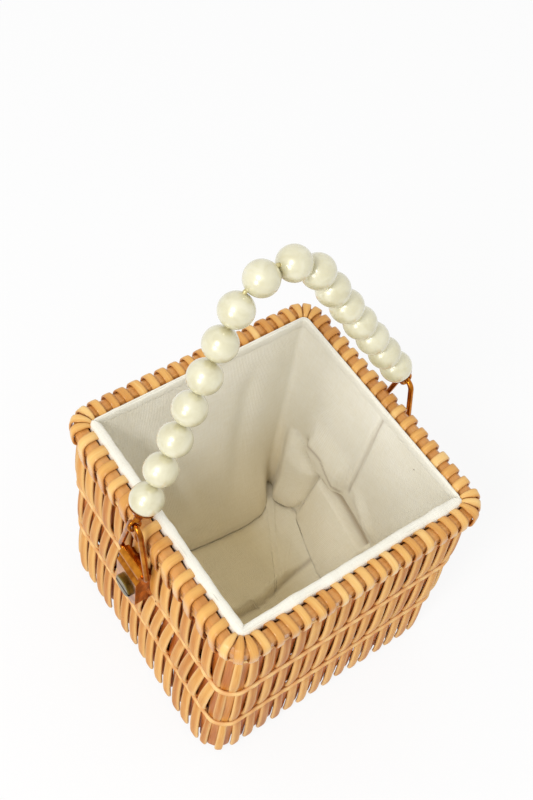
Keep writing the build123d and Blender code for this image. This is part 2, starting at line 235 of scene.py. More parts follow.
class Nodes:
    """Short hand for building one material's node tree."""

    def __init__(self, name):
        self.material = bpy.data.materials.new(name)
        self.material.use_nodes = True
        self.tree = self.material.node_tree
        self.bsdf = self.tree.nodes["Principled BSDF"]

    def add(self, kind, **props):
        made = self.tree.nodes.new(kind)
        for key, value in props.items():
            setattr(made, key, value)
        return made

    def feed(self, socket, value):
        """Set a socket's plain value, or link another socket to it."""
        if isinstance(value, (int, float, tuple)):
            socket.default_value = value
        else:
            self.tree.links.new(value, socket)

    def feed_all(self, node, **values):
        for key, value in values.items():
            self.feed(node.inputs[key.replace("_", " ")], value)

    def set(self, **values):
        self.feed_all(self.bsdf, **values)

    def grain(self, along, across):
        """The piece's grain map in metres, scaled along and across the grain."""
        mapping = self.add("ShaderNodeMapping")
        source = self.add("ShaderNodeUVMap", uv_map="grain")
        self.feed_all(mapping, Vector=source.outputs[0], Scale=(along, across, 1))
        return mapping.outputs[0]

    def place(self):
        return self.add("ShaderNodeTexCoord").outputs["Object"]

    def noise(self, vector, scale=1.0, detail=4.0, rough=0.55, distortion=0.0):
        made = self.add("ShaderNodeTexNoise")
        self.feed_all(made, Vector=vector, Scale=scale, Detail=detail, Roughness=rough, Distortion=distortion)
        return made.outputs["Fac"]

    def channels(self, color):
        made = self.add("ShaderNodeSeparateColor")
        self.feed(made.inputs[0], color)
        return made.outputs

    def tint(self):
        """The channels of the tint that the piece's points carry."""
        return self.channels(self.add("ShaderNodeVertexColor", layer_name="tint").outputs["Color"])

    def cells(self, vector):
        """Distance to the nearest cell's centre, and the channels of that cell's random colour."""
        made = self.add("ShaderNodeTexVoronoi")
        self.feed_all(made, Vector=vector, Scale=1.0)
        return made.outputs["Distance"], self.channels(made.outputs["Color"])

    def ramp(self, value, *stops):
        made = self.add("ShaderNodeValToRGB")
        while len(made.color_ramp.elements) < len(stops):
            made.color_ramp.elements.new(0.5)
        for element, (position, color) in zip(made.color_ramp.elements, stops):
            element.position = position
            element.color = color
        self.feed(made.inputs["Fac"], value)
        return made.outputs["Color"]

    def span(self, value, from_low, from_high, to_low, to_high):
        made = self.add("ShaderNodeMapRange")
        self.feed_all(made, Value=value, From_Min=from_low, From_Max=from_high, To_Min=to_low, To_Max=to_high)
        return made.outputs["Result"]

    def math(self, operation, a, b):
        made = self.add("ShaderNodeMath", operation=operation)
        self.feed(made.inputs[0], a)
        self.feed(made.inputs[1], b)
        return made.outputs[0]

    def weighted(self, *terms):
        """The sum of (socket, weight) pairs."""
        scaled = [self.math("MULTIPLY", socket, weight) for socket, weight in terms]
        total = scaled[0]
        for term in scaled[1:]:
            total = self.math("ADD", total, term)
        return total

    def mix(self, factor, a, b, blend="MIX"):
        made = self.add("ShaderNodeMix", data_type="RGBA", blend_type=blend)
        for number, value in ((0, factor), (6, a), (7, b)):
            self.feed(made.inputs[number], value)
        return made.outputs[2]

    def bump(self, height, strength, distance):
        made = self.add("ShaderNodeBump")
        self.feed_all(made, Height=height, Strength=strength, Distance=distance)
        return made.outputs[0]


# Materials; grain scales are per metre along and across the grain
REED_STREAKS = (60, 1700)
REED_CLOUDS = (35, 90)
REED_KNOTS = (95, 260)
KNOT_BROWN = srgb(92, 48, 18)
GLOSSY_LIMIT = 0.35
THREADS = 340
SLUBS = (900, 120)
MOTTLE = (28, 28)
FLECKS = (70, 70)
FLECK_BROWN = srgb(120, 88, 56)
# Colours of painted shade on the canvas: yellow-brown deeper in the bag, brown along creases
CANVAS_WARM_SHADE = srgb(240, 222, 180)
CANVAS_CREASE_SHADE = srgb(128, 98, 58)


def reed_material(name, deep, middle, light, edge, crevice_shade, gloss):
    """Split reed: long grain, a tone for each strand, painted light on the edges, painted shade in recesses,
    small dark knots.
    """
    n = Nodes(name)
    shade, painted_edge_share, crevice_shade_share = n.tint()
    streaks = n.noise(n.grain(*REED_STREAKS), detail=5.0, rough=0.6, distortion=0.3)
    clouds = n.noise(n.grain(*REED_CLOUDS), detail=2.0)
    value = n.weighted((streaks, 0.45), (clouds, 0.35), (shade, 0.3))
    color = n.ramp(value, (0.3, deep), (0.55, middle), (0.82, light))
    # Painted light: the edge colour along the strands' edges, and painted shade multiplied into recesses
    color = n.mix(painted_edge_share, color, edge)
    color = n.mix(crevice_shade_share, color, crevice_shade, "MULTIPLY")
    distance, chosen = n.cells(n.grain(*REED_KNOTS))
    knot = n.math("LESS_THAN", distance, n.math("MULTIPLY", chosen[1], 0.07))
    knot = n.math("MULTIPLY", knot, n.math("GREATER_THAN", chosen[0], 0.86))
    color = n.mix(knot, color, KNOT_BROWN)
    rough = n.span(streaks, 0.25, 0.75, gloss + 0.1, gloss - 0.08)
    n.set(Base_Color=color, Roughness=rough, Normal=n.bump(streaks, 0.35, 0.0004))
    n.set(Specular_IOR_Level=0.28, Coat_Weight=0.0 if gloss > GLOSSY_LIMIT else 0.25, Coat_Roughness=0.25)
    return n.material


def base_reed_material():
    """Reed for the base's CAD pieces, which have no grain map."""
    n = Nodes("base_reed")
    streaks = n.noise(n.place(), 260.0, 5.0)
    color = n.ramp(streaks, (0.3, srgb(172, 112, 54)), (0.55, srgb(208, 152, 88)), (0.8, srgb(232, 190, 132)))
    rough = n.span(streaks, 0.3, 0.7, 0.55, 0.42)
    n.set(Base_Color=color, Roughness=rough, Normal=n.bump(streaks, 0.3, 0.0004))
    return n.material


def canvas_material(name, base, shade, creased):
    """Plain weave cotton: crossing threads, slubs, faint mottling and a few dark seed flecks, with painted
    shade between threads and, when creased, painted shade along creases and deeper in the bag.
    """
    n = Nodes(name)
    plain = n.grain(1, 1)
    threads = []
    for direction in ("X", "Y"):
        wave = n.add("ShaderNodeTexWave", wave_type="BANDS", bands_direction=direction)
        n.feed_all(wave, Vector=plain, Scale=THREADS, Distortion=1.2, Detail=2.0, Detail_Scale=1.4)
        threads.append(wave.outputs["Fac"])
    weave = n.math("MULTIPLY", *threads)
    slubs = n.noise(n.grain(*SLUBS), detail=3.0)
    slubs_across = n.noise(n.grain(*reversed(SLUBS)), detail=3.0)
    mottle = n.noise(n.grain(*MOTTLE))
    value = n.weighted((slubs, 0.4), (slubs_across, 0.4), (mottle, 0.5))
    color = n.mix(n.span(value, 0.45, 0.85, 0.0, 1.0), shade, base)
    # Painted shade between the threads: the gaps of the weave lean towards the darker cream
    color = n.mix(n.span(weave, 0.0, 0.35, 0.12, 0.0), color, shade)
    distance, chosen = n.cells(n.grain(*FLECKS))
    fleck = n.math("LESS_THAN", distance, 0.035)
    fleck = n.math("MULTIPLY", fleck, n.math("GREATER_THAN", chosen[0], 0.9))
    color = n.mix(n.math("MULTIPLY", fleck, 0.8), color, FLECK_BROWN)
    # Painted shade from the tint: a yellow-brown darkening deeper in the bag, and brown lines along creases,
    # seams and folds
    if creased:
        crease, warm_shade, _ = n.tint()
        color = n.mix(warm_shade, color, CANVAS_WARM_SHADE, "MULTIPLY")
        color = n.mix(crease, color, CANVAS_CREASE_SHADE)
    height = n.weighted((weave, 0.6), (value, 0.7))
    rough = n.span(slubs, 0.3, 0.7, 0.82, 0.95)
    n.set(Base_Color=color, Roughness=rough, Normal=n.bump(height, 0.5, 0.0005))
    n.set(Sheen_Weight=0.25, Sheen_Roughness=0.5, Specular_IOR_Level=0.25)
    return n.material


def pearl_material():
    """Imitation pearl: ivory with cloudy layers under a clear gloss coat."""
    n = Nodes("pearl")
    at = n.place()
    clouds = n.noise(at, 130.0, 3.0, 0.5, 0.6)
    grain = n.noise(at, 1800.0, 2.0)
    color = n.ramp(clouds, (0.3, srgb(205, 197, 158)), (0.5, srgb(215, 209, 174)), (0.72, srgb(225, 220, 190)))
    rough = n.span(clouds, 0.3, 0.7, 0.3, 0.42)
    n.set(Base_Color=color, Roughness=rough, Normal=n.bump(grain, 0.05, 0.0001))
    n.set(Coat_Weight=1.0, Coat_Roughness=0.12, Coat_IOR=1.7, IOR=1.6, Specular_IOR_Level=1.0, Metallic=0.14)
    n.set(Subsurface_Weight=0.12, Subsurface_Radius=(1.0, 0.9, 0.6), Subsurface_Scale=0.003)
    return n.material


def metal_material(name, color, dark, rough):
    """Polished plated metal with faint cloudiness, fine scratches and a deeper tone in places."""
    n = Nodes(name)
    at = n.place()
    clouds = n.noise(at, 160.0, 3.0)
    scratches = n.noise(at, 2400.0, 3.0)
    tone = n.mix(n.span(clouds, 0.35, 0.7, 0.0, 1.0), color, dark)
    n.set(Base_Color=tone, Roughness=n.span(clouds, 0.3, 0.7, rough, rough + 0.12))
    n.set(Normal=n.bump(scratches, 0.06, 0.0001), Metallic=1.0)
    return n.material


# Edge colours are painted light: a paler highlight for reeds and hoops, a darker shade for the wraps; the
# colours for recesses are painted shade
REED = reed_material("reed", srgb(174, 98, 20), srgb(205, 136, 50), srgb(226, 170, 84),
                     srgb(242, 202, 132), srgb(220, 154, 78), 0.44)
# The hoops take a paler copy of the reed: painted light on their lit tops
LIT_REED = reed_material("lit_reed", srgb(208, 146, 68), srgb(230, 180, 104), srgb(245, 210, 146),
                          srgb(250, 220, 164), srgb(206, 132, 62), 0.42)
WRAP = reed_material("wrap", srgb(200, 132, 56), srgb(232, 178, 98), srgb(247, 212, 142),
                     srgb(180, 108, 36), srgb(200, 128, 54), 0.27)
BASE_REED = base_reed_material()
CANVAS = canvas_material("canvas", srgb(247, 244, 233), srgb(238, 232, 213), True)
HEM = canvas_material("hem_canvas", srgb(247, 244, 233), srgb(238, 233, 216), False)
PEARL = pearl_material()
GOLD = metal_material("gold", srgb(204, 130, 40), srgb(132, 66, 12), 0.12)
# The screw heads take a darker, olive copy of the gold: painted shade standing in for dark reflections
SHADED_GOLD = metal_material("shaded_gold", srgb(132, 112, 52), srgb(74, 58, 20), 0.16)
WIRE = metal_material("wire", srgb(222, 212, 166), srgb(196, 182, 128), 0.35)


# Upright reeds: how far they bow out, how wide they are and how far they swing sideways
WALL_REACH = {"right": 3.4, "back": 2.2, "left": 3.6, "front": 2.2}
WALL_REED_WIDTH = {"right": 6.2, "back": 5.4, "left": 6.2, "front": 5.4}
WALL_ZIGZAG = {"right": 1.4, "back": 0.4, "left": 2.0, "front": 0.4}
CORNER_REACH, CORNER_REED_WIDTH = 2.2, 4.4
IN_BOW = 0.5
BOW_ROWS = [-7.0, HOOP_LEVELS["lower"], HOOP_LEVELS["upper"], HOOP_LEVELS["top"]]
BOW_TOP, BOW_POWER = 0.34, 0.8
ZIGZAG = (list(HOOP_LEVELS.values()), [1.0, -1.0, 1.0, -0.6])
REED_RINGS = 54
REED_TOP = RIM_UNDERSIDE + 2.0
REED_HALF_HEIGHT = 1.25
WIDTH_AT_HOOPS, OUT_SWELL, IN_SWELL = 0.78, 0.22, 0.5
CUT_END, CUT_LENGTH = 0.35, 1.8
# Painted highlight along the reeds' edges
REED_EDGE_HIGHLIGHT = 0.9
REED_FEET, REED_LEANS, REED_BENDS, REED_SHIFTS = (0.1, 2.6), (-0.5, 0.5), (-0.4, 0.4), (-0.3, 0.3)
WIDTH_SHARES, REACH_SHARES = (0.93, 1.07), (0.85, 1.2)
# Painted shade on the reeds, growing on those that lie further in
WALL_CREVICE_SHADE, CORNER_CREVICE_SHADE, CREVICE_SHADE_DEPTH = 0.6, 0.2, 2.4


def reed_bow(level, side, reach):
    """A reed's way out from the wall's middle at a height, and the share of its full bow there."""
    for row, (below, above) in enumerate(zip(BOW_ROWS, BOW_ROWS[1:])):
        if level <= above:
            share = (level - below) / (above - below)
            if share < BOW_TOP:
                arch = math.sin(math.pi / 2 * share / BOW_TOP)
            else:
                arch = math.cos(math.pi / 2 * (share - BOW_TOP) / (1 - BOW_TOP))
            arch = max(0.0, arch) ** BOW_POWER
            return (reach if (row + side) % 2 == 0 else -IN_BOW) * arch, arch
    return 0.0, 0.0


def add_reed(builder, angle, along, turn, side, reach, sway, width):
    """One reed of a wall, or of a corner when it has a turn."""
    foot = rng.uniform(*REED_FEET)
    lean = rng.uniform(*REED_LEANS)
    bend = rng.uniform(*REED_BENDS)
    width = width * rng.uniform(*WIDTH_SHARES)
    reach = reach * rng.uniform(*REACH_SHARES)
    shade = rng.random()
    out_axis, along_axis = wall_axes(angle + (turn or 0))
    crevice_shade = WALL_CREVICE_SHADE if turn is None else CORNER_CREVICE_SHADE
    strand = []
    for k in range(REED_RINGS):
        share = k / (REED_RINGS - 1)
        level = foot + (REED_TOP - foot) * share
        out, arch = reed_bow(level, side, reach)
        drift = lean * (1 - share) + bend * math.sin(math.pi * share) + sway * look_up(ZIGZAG, level)
        point = side_point(angle, along + drift, turn, WALL_MIDDLE + out, level)
        end = CUT_END + (1 - CUT_END) * math.sqrt(min(1.0, (level - foot) / CUT_LENGTH))
        swell = WIDTH_AT_HOOPS + (OUT_SWELL if out > 0 else IN_SWELL) * arch
        # Painted shade grows as a reed lies further in
        strand.append((point, along_axis, out_axis, width / 2 * end * swell, REED_HALF_HEIGHT * end,
                       (REED_EDGE_HIGHLIGHT, clamp(crevice_shade - out / CREVICE_SHADE_DEPTH))))
    builder.sweep(strand, HALF_ROUND, shade)


for wall, angle in WALLS.items():
    reeds = Builder()
    for index in range(REEDS_PER_SIDE):
        place = (index - (REEDS_PER_SIDE - 1) / 2) * REED_PITCH + rng.uniform(*REED_SHIFTS)
        add_reed(reeds, angle, place, None, index % 2, WALL_REACH[wall], WALL_ZIGZAG[wall],
                 WALL_REED_WIDTH[wall])
    reeds.piece("woven_reeds_" + wall, REED, ["reeds_" + wall])

reeds = Builder()
for angle in WALLS.values():
    for index in range(CORNER_REEDS):
        add_reed(reeds, angle, 0, (index + 0.5) * 90 / CORNER_REEDS, index % 2, CORNER_REACH, 0,
                 CORNER_REED_WIDTH)
reeds.piece("woven_reeds_corners", REED, ["corner_reeds"])

# Hoops: rings inside and outside the reeds, which pull them up and down a little
HOOP_STEPS = (84, 10)
HOOP_HALF_WIDTH, HOOP_HALF_HEIGHT = 1.3, 1.05
HOOP_WAVE = 2 * math.pi / 6
HOOP_DRIFT, HOOP_PULL, HOOP_SWAY, HOOP_SWELL = 0.9, 0.35, 0.3, 0.2
# Painted highlight along the hoops' edges
HOOP_EDGE_HIGHLIGHT, HOOP_SHADES = 0.6, (0.7, 0.95)
# Painted shade: all over the inner hoops, in a wave along the outer ones
INNER_HOOP_SHADE, OUTER_HOOP_SHADE = 0.9, 0.22

for name, level in HOOP_LEVELS.items():
    hoop = Builder()
    for side in (-1,) if name == "base" else (-1, 1):
        strand = []
        for k, (point, out_axis) in enumerate(plan_path(WALL_MIDDLE + side * HOOP_OFFSET, *HOOP_STEPS)):
            ripple = noise.noise(Vector((k * 0.45, level, side)))
            drift = noise.noise(Vector((k * 0.06, level, 7 + side)))
            rise = HOOP_DRIFT * drift + HOOP_PULL * math.sin(k * HOOP_WAVE)
            # Share of painted shade for this point of the hoop
            crevice_shade = OUTER_HOOP_SHADE * (1 + math.sin(k * HOOP_WAVE + 1)) if side > 0 else INNER_HOOP_SHADE
            strand.append((point + UP * (level + rise) + out_axis * (HOOP_SWAY * ripple), UP, out_axis,
                           HOOP_HALF_WIDTH + HOOP_SWELL * ripple, HOOP_HALF_HEIGHT,
                           (HOOP_EDGE_HIGHLIGHT, crevice_shade)))
        hoop.sweep(strand, OVAL, rng.uniform(*HOOP_SHADES), closed=True)
    hoop.piece("round_hoop_" + name, LIT_REED, ["hoop_" + name])

# Rim core: a bundle of rods with grooves between them
RIM_POWER = 2 / 2.9
CORE_STEPS = (60, 12)
CORE_POINTS, CORE_RODS, CORE_GROOVE = 28, 7, 0.035
CORE_INSET, CORE_WAVER = 0.35, 0.25
# Painted shade over the core, which lies sunk between the wraps
CORE_SHADE, CORE_CREVICE_SHADE = 0.55, 0.42

core = Builder()
section = []
for k in range(CORE_POINTS):
    turn = 360 * k / CORE_POINTS
    ridge = 1.0 - CORE_GROOVE * (1 + math.cos(math.radians(turn * CORE_RODS)))
    section.append(tuple(side * ridge for side in squared(turn, RIM_POWER)))
strand = []
for k, (point, out_axis) in enumerate(plan_path(WALL_MIDDLE, *CORE_STEPS)):
    level = RIM_MIDDLE + CORE_WAVER * noise.noise(Vector((k * 0.11, 3, 1)))
    strand.append((point + UP * level, out_axis, UP, RIM_WIDTH / 2 - CORE_INSET, RIM_HEIGHT / 2 - CORE_INSET,
                   (0.0, CORE_CREVICE_SHADE)))
core.sweep(strand, section, CORE_SHADE, closed=True)
core.piece("rim_bundle", WRAP, ["rim_core"])

# Rim wraps: strips that run over the rim between two angles of its section, some with a tail
WRAP_START, WRAP_END, WRAP_STEPS = 262, -62, 30
WRAP_HALF_HEIGHT = 1.35 * WRAP_THICKNESS / 2
TAIL_START, TAIL_STEPS = -18, 8
TAIL_IN, TAIL_POWER = 3.2, 2.2
TAIL_LENGTHS, TAIL_TAPER, TAIL_SLANT = (11, 17), 0.6, 0.3
WRAP_LIFTS, WRAP_SHIFTS = (0.15, 0.6), (-0.4, 0.4)
WRAP_WIDTHS, WRAP_SLANTS = (0.5, 0.64), (1.0, 3.2)
CORNER_WRAP_TURNS, CORNER_WRAP_SLANTS = (-3, 3), (0.4, 1.4)
CORNER_NARROWEST, CORNER_WIDEST = 0.45, 1.12
CORNER_SLANT = 4
CORNER_WRAP_FIRST, CORNER_WRAP_PITCH, CORNER_WRAP_WIDTH = 15, 30, 4.0
# Painted shade along the wraps' edges and on their lower part under the rim
WRAP_EDGE_SHADE, WRAP_UNDERSIDE_SHADE = 0.55, 0.35


def wrap_outline(lift, slant, tail):
    """Stations of a strip over the rim as (out, rise, shift along, step out, step up, share of width)."""
    half_width = RIM_WIDTH / 2 + WRAP_THICKNESS / 2 + lift
    half_height = RIM_HEIGHT / 2 + WRAP_THICKNESS / 2 + lift

    def rim_place(turn):
        c, s = squared(turn, RIM_POWER)
        return c * half_width, s * half_height

    outline = []
    for k in range(WRAP_STEPS):
        turn = WRAP_START + (WRAP_END - WRAP_START) * k / (WRAP_STEPS - 1)
        if tail and turn < TAIL_START:
            break
        out, rise = rim_place(turn)
        out_ahead, rise_ahead = rim_place(turn - 2)
        outline.append((out, rise, slant * (90 - turn) / 180, out_ahead - out, rise_ahead - rise, 1.0))
    if tail:
        out, rise, shift = outline[-1][:3]
        for k in range(1, TAIL_STEPS + 1):
            share = k / TAIL_STEPS
            step_out = -TAIL_IN * TAIL_POWER * share ** (TAIL_POWER - 1)
            outline.append((out - TAIL_IN * share ** TAIL_POWER, rise - tail * share,
                            shift + TAIL_SLANT * slant * share, step_out, -tail,
                            1 - TAIL_TAPER * share ** 1.3))
    return outline


def add_wrap(builder, angle, along, turn, width, slant, tail):
    """A flat strip over the rim from inside to outside, with a tapering tail down the wall if it has one."""
    shade = rng.random()
    lift = rng.uniform(*WRAP_LIFTS)
    strand = []
    for out, rise, shift, step_out, step_up, size in wrap_outline(lift, slant, tail):
        turned = None if turn is None else turn + shift * CORNER_SLANT
        out_axis, along_axis = wall_axes(angle + (turned or 0))
        point = side_point(angle, along + shift, turned, WALL_MIDDLE + out, RIM_MIDDLE + rise)
        length = math.hypot(step_out, step_up)
        normal = out_axis * (-step_up / length) + UP * (step_out / length)
        if np.dot(normal, out_axis * out + UP * rise) < 0:
            normal = -normal
        if turn is not None:
            size *= max(CORNER_NARROWEST, min(CORNER_WIDEST, (CORNER_RADIUS + out) / CORNER_RADIUS))
        # Share of painted shade, growing down the rim's underside
        low = clamp((-rise - 0.5) / 6)
        strand.append((point, along_axis, normal, width / 2 * size, WRAP_HALF_HEIGHT,
                       (WRAP_EDGE_SHADE, WRAP_UNDERSIDE_SHADE * low)))
    builder.sweep(strand, STRIP, shade)


for wall, angle in WALLS.items():
    wraps = Builder()
    count = WRAP_COUNTS[wall]
    pitch = 2 * STRAIGHT_HALF / count
    for index in range(count):
        place = (index - (count - 1) / 2) * pitch + rng.uniform(*WRAP_SHIFTS)
        tail = 0 if wall == "front" else rng.uniform(*TAIL_LENGTHS)
        add_wrap(wraps, angle, place, None, rng.uniform(*WRAP_WIDTHS) * pitch, rng.uniform(*WRAP_SLANTS), tail)
    wraps.piece("wrap_strips_" + wall, WRAP, ["rim_wraps_" + wall])
wraps = Builder()
for angle in WALLS.values():
    for index in range(CORNER_WRAPS):
        turn = CORNER_WRAP_FIRST + CORNER_WRAP_PITCH * index + rng.uniform(*CORNER_WRAP_TURNS)
        add_wrap(wraps, angle, 0, turn, CORNER_WRAP_WIDTH, rng.uniform(*CORNER_WRAP_SLANTS), 0)
wraps.piece("wrap_strips_corners", WRAP, ["rim_corner_wraps"])

# Liner: how far the cloth hangs in from the reeds, by height, at the walls' middles and at the corners
SLACK_LEVELS = [12.9, 36.6, 63.9, 98.2, 131.4, 139.4]
WALL_SLACKS = {
    "right": [18.0, 4.0, 4.0, 2.0, 0.0, 0.0],
    "back": [38.0, 21.0, 11.0, 4.0, 0.0, 0.0],
    "left": [15.0, 9.0, 6.0, 3.0, 0.0, 0.0],
    "front": [15.0, 9.0, 6.0, 3.0, 0.0, 0.0],
}
CORNER_SLACKS = [9.0, 6.0, 3.5, 1.5, 0.0, 0.0]
FULL_CORNER_SLACKS = [19.0, 17.0, 10.0, 2.5, 0.0, 0.0]
BOW_PLACES = [0, 0.23, 0.46, 0.66, 0.82, 1.0]
BOW = (BOW_PLACES, [1, 0.97, 0.88, 0.72, 0.48, 0])
WIDE_BOW = (BOW_PLACES, [1, 1, 0.98, 0.92, 0.7, 0])
WIDE_BOW_LEVELS = (24, 56)

# Folds of the right wall. A band holds the four levels or places between which a fold comes and goes.
EAR_SIDE, EAR_LEVEL, EAR_HALF_HEIGHT, EAR_DEPTH, EAR_EASE = 45, 36, 26, 11, 11
EAR_CREASE = ([13.2, 47, 52.6, 60.8], [17, 19.4, 27.5, 36.4])
EAR_CREASE_DEPTH, EAR_CREASE_BAND = 2.4, (36, 44, 58, 68)
PUFF_DEPTH, PUFF_BAND = 4.5, (44, 52, 60, 84)
FLAP_PLACES = (-31, -28, 15, 20)
FLAP_EDGE = ([-27, -8, 12, 24], [37, 43, 47, 49])
FLAP_FOOT = ([-20, 24], [30, 17])
FLAP_EDGE_SLACK, FLAP_TUCK = 9.5, 1.6
SEAM_START, SEAM_SLOPE, SEAM_LEVEL = -3.0, 0.032, 53
SEAM_RIDGE, SEAM_BAND = 0.7, (56, 64, 130, 138)
SLANT_DEPTH, SLANT_BAND = 3.0, (44, 52, 58, 72)
# A crease drawn only as painted shade, with no fold in the cloth
SECOND_CREASE = ([0.5, 11.9, 19.8, 35.4], [51.8, 58.5, 63.5, 64.4])

# How dark the painted shade along the right wall's creases, seam and flap edge is, and where
EAR_DARK, EAR_DARKER, EAR_DARK_BAND = 0.35, 0.45, (15, 24, 58, 64)
FLAP_DARK, FLAP_DARK_FROM, FLAP_DARK_TO = 0.7, -28, 16
SEAM_DARK, SEAM_DARK_BAND = 0.42, (57, 62, 136, 139)
SECOND_DARK, SECOND_DARK_FROM, SECOND_DARK_TO = 0.5, 0.5, 34

# Folds of the back wall: one that hangs in and one that lies back
BACK_FOLD_DEPTH, BACK_FOLD_BAND = 3.0, (20, 60, 90, 128)
BACK_HOLLOW_DEPTH, BACK_HOLLOW_BAND = 2.5, (16, 50, 96, 128)
WRINKLE_SCALE, WIDE_WRINKLE, FINE_WRINKLE = 0.022, 2.0, 0.6


def eased(level, slacks):
    """A slack read from its table, rounded over the levels near by."""
    return float(np.mean([look_up((SLACK_LEVELS, slacks), level + step) for step in (-8, -4, 0, 4, 8)]))


def corner_slack(wall, along, level):
    """Slack at the corner nearest to a place on a wall. The corner at the back right holds a thick fold."""
    full = wall == "right" and along > 0 or wall == "back" and along < 0
    return eased(level, FULL_CORNER_SLACKS if full else CORNER_SLACKS)


def ear_crease(level):
    """Place of the sharp side of the standing fold on the right wall."""
    return look_up(EAR_CREASE, level)


def flap_edge(along):
    """Height of the free top edge of the panel that leans on the right wall."""
    return look_up(FLAP_EDGE, along)


def seam_place(level):
    """Place of the right wall's upright seam."""
    return SEAM_START - SEAM_SLOPE * (level - SEAM_LEVEL)


def crease_shade(wall, along, level):
    """How much painted shade the cloth's creases, seams and folds take at a place."""
    if wall != "right":
        return 0.0
    deep = EAR_DARK + EAR_DARKER * smooth(40, 48, level)
    shade = deep * hill(along, ear_crease(level) - 0.6, 0.9) * band(level, *EAR_DARK_BAND)
    if FLAP_DARK_FROM < along < FLAP_DARK_TO:
        shade += FLAP_DARK * hill(level, flap_edge(along) + 1.4, 1.1)
    shade += SEAM_DARK * hill(along, seam_place(level), 0.8) * band(level, *SEAM_DARK_BAND)
    if SECOND_DARK_FROM < along < SECOND_DARK_TO:
        shade += SECOND_DARK * hill(level, look_up(SECOND_CREASE, along), 1.0)
    return min(1.0, shade)


def right_folds(slack, along, level, reach):
    """The right wall's slack with its standing fold, the puff above it, the leaning panel and the seam."""
    crease = ear_crease(level)
    across = max(0.0, EAR_SIDE - along) / (EAR_SIDE - crease)
    upward = (level - EAR_LEVEL) / EAR_HALF_HEIGHT
    ear = math.sqrt(max(0.0, 1 - across ** 3 - abs(upward) ** 3.4))
    slack += EAR_DEPTH * ear * (1 - smooth(reach - EAR_EASE, reach, along))
    slack -= EAR_CREASE_DEPTH * hill(along, crease - 1.2, 1.8) * band(level, *EAR_CREASE_BAND)
    slack += PUFF_DEPTH * band(along, 0, 7, crease - 6, crease - 1) * band(level, *PUFF_BAND)
    edge = flap_edge(along)
    flap = band(along, *FLAP_PLACES)
    panel = look_up(([FLOOR_LEVEL, edge], [look_up(FLAP_FOOT, along), FLAP_EDGE_SLACK]), level)
    slack += flap * (panel - slack) * (1 - smooth(edge - 0.9, edge + 0.7, level))
    slack -= flap * FLAP_TUCK * hill(level, edge + 2.6, 1.8)
    seam = SEAM_RIDGE * hill(along, seam_place(level) + 3, 2.6) - hill(along, seam_place(level), 1.1)
    slack += seam * band(level, *SEAM_BAND)
    slack += SLANT_DEPTH * hill(along, -14 - 0.75 * (62 - level), 6) * band(level, *SLANT_BAND)
    return slack


def back_folds(slack, along, level):
    """The back wall's slack with its two soft upright folds."""
    slack += BACK_FOLD_DEPTH * hill(along, 20 + 0.25 * (level - 60), 6) * band(level, *BACK_FOLD_BAND)
    slack -= BACK_HOLLOW_DEPTH * hill(along, -22 - 0.2 * (level - 60), 7) * band(level, *BACK_HOLLOW_BAND)
    return slack


def wall_slack(wall, along, level):
    """How far the cloth of a wall hangs in from the reeds at a place."""
    corner = corner_slack(wall, along, level)
    reach = STRAIGHT_HALF - corner
    from_middle = abs(along) / reach
    bow = look_up(BOW, from_middle)
    if wall == "back" and along < 0:
        bow += (look_up(WIDE_BOW, from_middle) - bow) * (1 - smooth(*WIDE_BOW_LEVELS, level))
    slack = corner + (eased(level, WALL_SLACKS[wall]) - corner) * bow
    if wall == "right":
        return right_folds(slack, along, level, reach)
    if wall == "back":
        return back_folds(slack, along, level)
    return slack


def liner_point(wall, angle, along, turn, level):
    """A point of the cloth before its wrinkles, with its outward direction."""
    out_axis = wall_axes(angle + (turn or 0))[0]
    if turn is None:
        return wall_point(angle, LINER_HALF - wall_slack(wall, along, level), along, level), out_axis
    half = STRAIGHT_HALF - corner_slack(wall, 1, level)
    centre = wall_point(angle, half, half, level)
    return centre + out_axis * (CORNER_RADIUS + LINER_HALF - WALL_MIDDLE), out_axis


def wrinkle(point, axis):
    """Soft random slack of the cloth along its own normal."""
    p = Vector(point) * WRINKLE_SCALE
    wide = noise.noise(Vector((p.x, p.y, p.z * 0.6)) + Vector((3, 1, 7)))
    fine = noise.noise(Vector((p.x * 3.1, p.y * 3.1, p.z * 1.6)) + Vector((9, 4, 2)))
    return axis * (WIDE_WRINKLE * wide + FINE_WRINKLE * fine)


# The liner's grid: rows from the mouth down to the floor's edge, then in to the floor's pole.
# One row starts at the flap's edge and one column at the standing fold's crease.
LINER_COLUMNS = {"right": 112, "back": 92, "left": 40, "front": 40}
LINER_CORNER_COLUMNS = 8
WALL_ROWS, FLOOR_ROWS, ROW_POWER = 96, 34, 1.45
ROW_LEVELS = [FLOOR_LEVEL + (LINER_TOP - FLOOR_LEVEL) * (1 - i / (WALL_ROWS - 1)) ** ROW_POWER
              for i in range(WALL_ROWS)]
EDGE_LEVEL = min(ROW_LEVELS, key=lambda level: abs(level - 42))
CREASE_COLUMN = 80
CREASE_SHARE = 2 * CREASE_COLUMN / LINER_COLUMNS["right"] - 1
CREASE_PULL, CREASE_PULL_LEVELS = 0.54, (75, 120)
EDGE_HOLD, EDGE_HOLD_PLACES = 60, (38, 54)
WRINKLE_START = 0.12
CORNER_PLACE = 60
# Painted yellow-brown shade towards the bottom of the bag
WARM_LEVELS, WARM_PLACES = (14, 95), (28, 58)
WARM_MOST, WARM_LEAST = 0.6, 0.3


